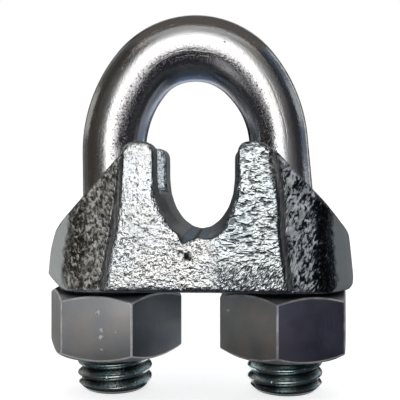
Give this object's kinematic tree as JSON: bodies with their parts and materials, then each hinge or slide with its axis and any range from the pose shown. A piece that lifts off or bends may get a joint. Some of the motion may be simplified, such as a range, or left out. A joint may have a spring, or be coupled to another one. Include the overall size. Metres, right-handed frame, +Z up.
{
  "type": "wire rope clip",
  "caption": "Wire rope clip: a threaded U-bolt and a cast saddle that slides up its legs as the hexagon nuts are turned, clamping the rope.",
  "frame": {"origin": "midway between the two leg ends, on the plane that they stand on", "axes": "+Z up the legs towards the bow, X across the two legs, Y along the rope, with the front at -Y"},
  "size_m": [0.041, 0.023, 0.0501],
  "materials": {
    "plated_bar": "bright zinc plate on smooth round bar",
    "plated_casting": "bright zinc plate on a coarse cast skin",
    "plated_nut": "satin zinc plate on machined steel"
  },
  "bodies": {
    "u_bolt": {"u_bolt": "plated_bar"},
    "saddle": {"saddle": "plated_casting"},
    "left_nut": {"left_nut": "plated_nut"},
    "right_nut": {"right_nut": "plated_nut"}
  },
  "joints": [
    {"name": "saddle_slide", "type": "slide", "parent": "u_bolt", "child": "saddle", "axis": [0, 0, 1], "range_m": [-0.0045, 0.006]},
    {"name": "left_nut_turn", "type": "hinge", "parent": "saddle", "child": "left_nut", "pos_m": [-0.01145, 0, 0.005], "axis": [0, 0, 1], "range_deg": [-1080, 1440]},
    {"name": "right_nut_turn", "type": "hinge", "parent": "saddle", "child": "right_nut", "pos_m": [0.01145, 0, 0.005], "axis": [0, 0, 1], "range_deg": [-1080, 1440]}
  ],
  "couplings": [
    {"joint": "saddle_slide", "follows": "left_nut_turn", "m_per_rad": 0.00023873},
    {"joint": "right_nut_turn", "follows": "left_nut_turn", "ratio": 1}
  ]
}
